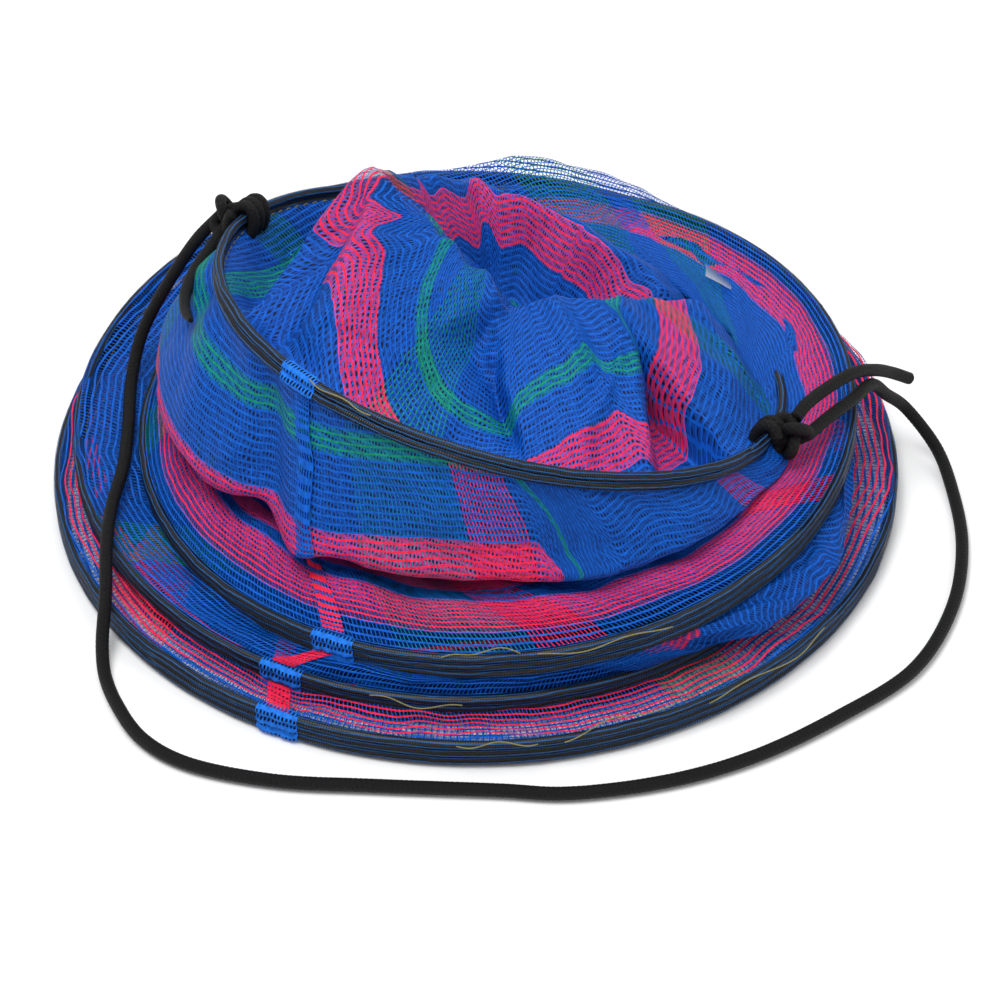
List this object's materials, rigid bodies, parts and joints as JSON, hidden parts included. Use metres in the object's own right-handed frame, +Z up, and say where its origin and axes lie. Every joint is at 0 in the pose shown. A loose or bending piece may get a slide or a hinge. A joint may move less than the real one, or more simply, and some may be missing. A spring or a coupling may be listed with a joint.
{
  "type": "folding crab trap",
  "caption": "Round crab trap of stacked hoops in net walls, folded flat, with a gathered mouth and a loose rope handle; the hoops draw apart to open it",
  "frame": {"origin": "on the ground, at the centre of the base hoop's underside", "axes": "+Z up, the way the hoops draw apart; +Y is the back, the side away from the rope handle's loop; +X is right seen from the front"},
  "size_m": [0.4353, 0.4267, 0.1448],
  "materials": {
    "dark_rod": "dark grey-brown plastic rod, slightly glossy",
    "hem_net": "fine blue nylon net drawn tight over the rods",
    "doubled_net": "bright blue nylon net, doubled",
    "sewing_thread": "olive-brown sewing thread",
    "wall_net": "open blue nylon mesh with red and green stripes",
    "striped_net": "red-striped nylon mesh, doubled",
    "braided_rope": "matte black braided cord",
    "label_cloth": "plain white cloth tape, blank"
  },
  "bodies": {
    "base_hoop": {"base_hoop_coil": "dark_rod", "base_hoop_hem": "hem_net", "base_hem_stitching": "sewing_thread", "base_seam_patch": "doubled_net", "base_net": "wall_net", "lower_section_net": "wall_net", "lower_side_seam": "striped_net"},
    "third_hoop": {"third_hoop_coil": "dark_rod", "third_hoop_hem": "hem_net", "third_hem_stitching": "sewing_thread", "third_seam_patch": "doubled_net", "middle_section_net": "wall_net", "middle_side_seam": "striped_net"},
    "second_hoop": {"second_hoop_coil": "dark_rod", "second_hoop_hem": "hem_net", "second_hem_stitching": "sewing_thread", "second_seam_patch": "doubled_net", "upper_section_net": "wall_net", "upper_side_seam": "striped_net"},
    "mouth_hoop": {"mouth_hoop_coil": "dark_rod", "mouth_hoop_hem": "hem_net", "mouth_hem_stitching": "sewing_thread", "mouth_seam_patch": "doubled_net", "throat_net": "wall_net", "blank_label": "label_cloth", "handle_rope": "braided_rope", "left_knot": "braided_rope", "left_rope_tail": "braided_rope", "right_knot": "braided_rope", "right_rope_tail": "braided_rope"}
  },
  "joints": [
    {"name": "third_hoop_lift", "type": "slide", "parent": "base_hoop", "child": "third_hoop", "axis": [0, 0, 1], "range_m": [0, 0.18], "deforming": ["lower_section_net", "lower_side_seam"]},
    {"name": "second_hoop_lift", "type": "slide", "parent": "third_hoop", "child": "second_hoop", "axis": [0, 0, 1], "range_m": [0, 0.18], "deforming": ["middle_section_net", "middle_side_seam"]},
    {"name": "mouth_hoop_lift", "type": "slide", "parent": "second_hoop", "child": "mouth_hoop", "axis": [0, 0, 1], "range_m": [0, 0.15], "deforming": ["upper_section_net", "upper_side_seam"]}
  ]
}
